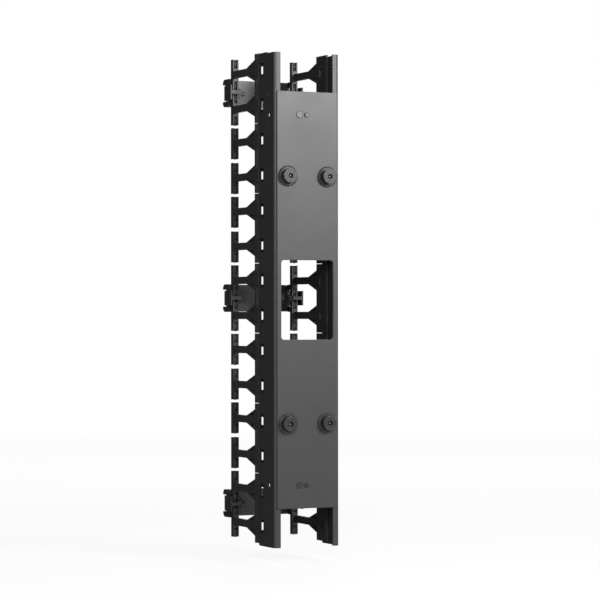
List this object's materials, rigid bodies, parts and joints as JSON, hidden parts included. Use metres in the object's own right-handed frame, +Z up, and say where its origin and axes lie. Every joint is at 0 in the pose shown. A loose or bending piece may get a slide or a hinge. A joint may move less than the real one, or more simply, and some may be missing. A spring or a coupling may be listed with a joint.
{
  "type": "vertical cable manager",
  "caption": "Zero-U vertical cable manager: slotted steel channel with T-ended plastic fingers on both flanges, cover brackets and a rear plate with button studs.",
  "frame": {"origin": "centre of the four-button pattern, in the plane of the button heads' inner faces, 6 mm behind the mounting plate's outer face", "axes": "+Z up along the channel, -Y towards the rack, +Y towards the fingers' ends, X across"},
  "size_m": [0.104, 0.1624, 0.6243],
  "materials": {
    "channel_steel": "fine black powder coat",
    "plate_steel": "fine black powder coat",
    "bracket_steel": "fine black powder coat",
    "stud_steel": "black oxide, satin",
    "screw_steel": "black oxide",
    "zinc_steel": "bright zinc plate",
    "finger_plastic": "moulded black, fine texture",
    "clip_plastic": "moulded black, satin",
    "knob_plastic": "moulded black, satin"
  },
  "bodies": {
    "frame": {"channel": "channel_steel", "mounting_plate": "plate_steel", "mounting_stud_lower_left": "stud_steel", "mounting_stud_lower_right": "stud_steel", "mounting_stud_upper_left": "stud_steel", "mounting_stud_upper_right": "stud_steel", "stud_washers": "zinc_steel", "stud_nuts": "zinc_steel", "clinch_nuts": "zinc_steel", "plate_screws": "screw_steel", "plate_rivets": "screw_steel", "finger_module_left_1": "finger_plastic", "finger_module_left_2": "finger_plastic", "finger_module_left_3": "finger_plastic", "finger_module_left_4": "finger_plastic", "finger_module_left_5": "finger_plastic", "finger_module_left_6": "finger_plastic", "finger_module_left_7": "finger_plastic", "finger_module_right_1": "finger_plastic", "finger_module_right_2": "finger_plastic", "finger_module_right_3": "finger_plastic", "finger_module_right_4": "finger_plastic", "finger_module_right_5": "finger_plastic", "finger_module_right_6": "finger_plastic", "finger_module_right_7": "finger_plastic", "cover_bracket_bottom": "bracket_steel", "cover_bracket_middle": "bracket_steel", "cover_bracket_top": "bracket_steel", "side_clip_bottom_left": "clip_plastic", "side_clip_bottom_right": "clip_plastic", "side_clip_middle_left": "clip_plastic", "side_clip_middle_right": "clip_plastic", "side_clip_top_left": "clip_plastic", "side_clip_top_right": "clip_plastic"},
    "knob_bottom_left": {"latch_knob_bottom_left": "knob_plastic", "latch_cam_bottom_left": "zinc_steel"},
    "knob_bottom_right": {"latch_knob_bottom_right": "knob_plastic", "latch_cam_bottom_right": "zinc_steel"},
    "knob_middle_left": {"latch_knob_middle_left": "knob_plastic", "latch_cam_middle_left": "zinc_steel"},
    "knob_middle_right": {"latch_knob_middle_right": "knob_plastic", "latch_cam_middle_right": "zinc_steel"},
    "knob_top_left": {"latch_knob_top_left": "knob_plastic", "latch_cam_top_left": "zinc_steel"},
    "knob_top_right": {"latch_knob_top_right": "knob_plastic", "latch_cam_top_right": "zinc_steel"}
  },
  "joints": [
    {"name": "knob_turn_bottom_left", "type": "hinge", "parent": "frame", "child": "knob_bottom_left", "pos_m": [-0.031, 0.1545, -0.2637], "axis": [0, 1, 0], "range_deg": [0, 90]},
    {"name": "knob_turn_bottom_right", "type": "hinge", "parent": "frame", "child": "knob_bottom_right", "pos_m": [0.031, 0.1545, -0.2637], "axis": [0, -1, 0], "range_deg": [0, 90]},
    {"name": "knob_turn_middle_left", "type": "hinge", "parent": "frame", "child": "knob_middle_left", "pos_m": [-0.031, 0.1545, 0.003], "axis": [0, 1, 0], "range_deg": [0, 90]},
    {"name": "knob_turn_middle_right", "type": "hinge", "parent": "frame", "child": "knob_middle_right", "pos_m": [0.031, 0.1545, 0.003], "axis": [0, -1, 0], "range_deg": [0, 90]},
    {"name": "knob_turn_top_left", "type": "hinge", "parent": "frame", "child": "knob_top_left", "pos_m": [-0.031, 0.1545, 0.2697], "axis": [0, 1, 0], "range_deg": [0, 90]},
    {"name": "knob_turn_top_right", "type": "hinge", "parent": "frame", "child": "knob_top_right", "pos_m": [0.031, 0.1545, 0.2697], "axis": [0, -1, 0], "range_deg": [0, 90]}
  ]
}
